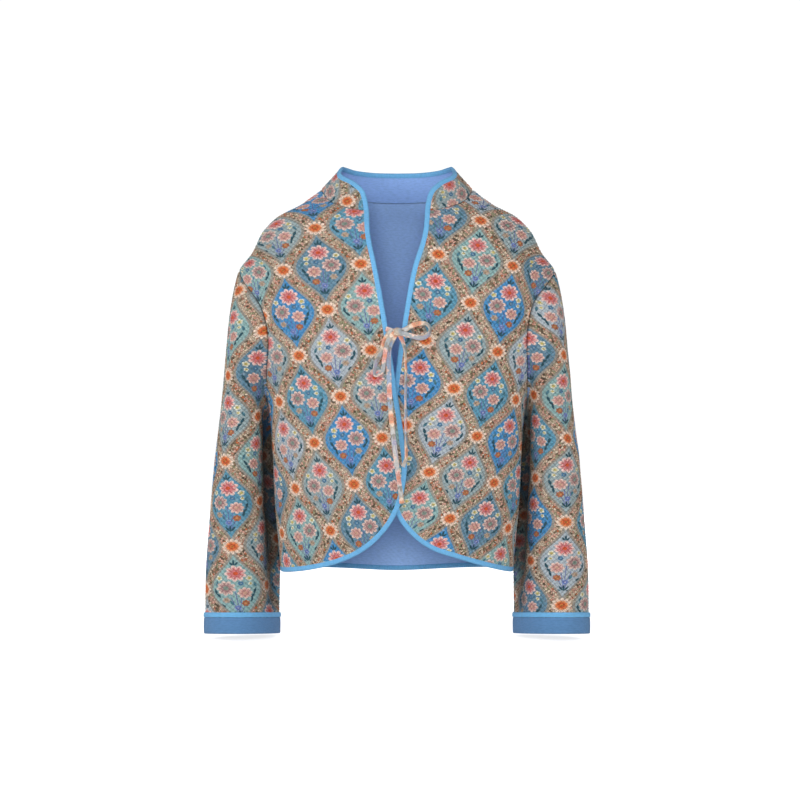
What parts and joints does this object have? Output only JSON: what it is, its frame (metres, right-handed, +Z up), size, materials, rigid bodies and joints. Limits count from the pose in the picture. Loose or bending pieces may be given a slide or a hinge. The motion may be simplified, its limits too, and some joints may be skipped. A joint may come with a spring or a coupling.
{
  "type": "quilted tie-front cardigan jacket",
  "caption": "Short boxy quilted cardigan jacket, hollow as worn, with stand collar, drop shoulders, bound rounded fronts tied in a bow and turned-back cuffs.",
  "frame": {"origin": "in the neck opening, in the middle plane, level with the high points of the shoulder seams", "axes": "+Z up, the front faces -Y, +X is the wearer's left"},
  "size_m": [0.5786, 0.2536, 0.6966],
  "materials": {
    "print_cloth": "matt quilted jersey with a flower print outside and plain blue inside",
    "lining_cloth": "matt plain blue jersey",
    "binding_cloth": "matt light blue bias tape",
    "tie_cloth": "matt strips of the print cloth"
  },
  "bodies": {
    "root": {"back": "print_cloth", "front_left": "print_cloth", "front_right": "print_cloth", "sleeve_left": "print_cloth", "sleeve_right": "print_cloth", "collar": "print_cloth", "cuff_left": "lining_cloth", "cuff_right": "lining_cloth", "binding_left": "binding_cloth", "binding_right": "binding_cloth", "binding_collar": "binding_cloth", "binding_back": "binding_cloth", "cuff_binding_left": "binding_cloth", "cuff_binding_right": "binding_cloth", "tie_lead_left": "tie_cloth", "tie_lead_right": "tie_cloth", "tie_knot": "tie_cloth", "tie_loop_left": "tie_cloth", "tie_loop_right": "tie_cloth", "tie_tail_left": "tie_cloth", "tie_tail_right": "tie_cloth"}
  },
  "joints": []
}
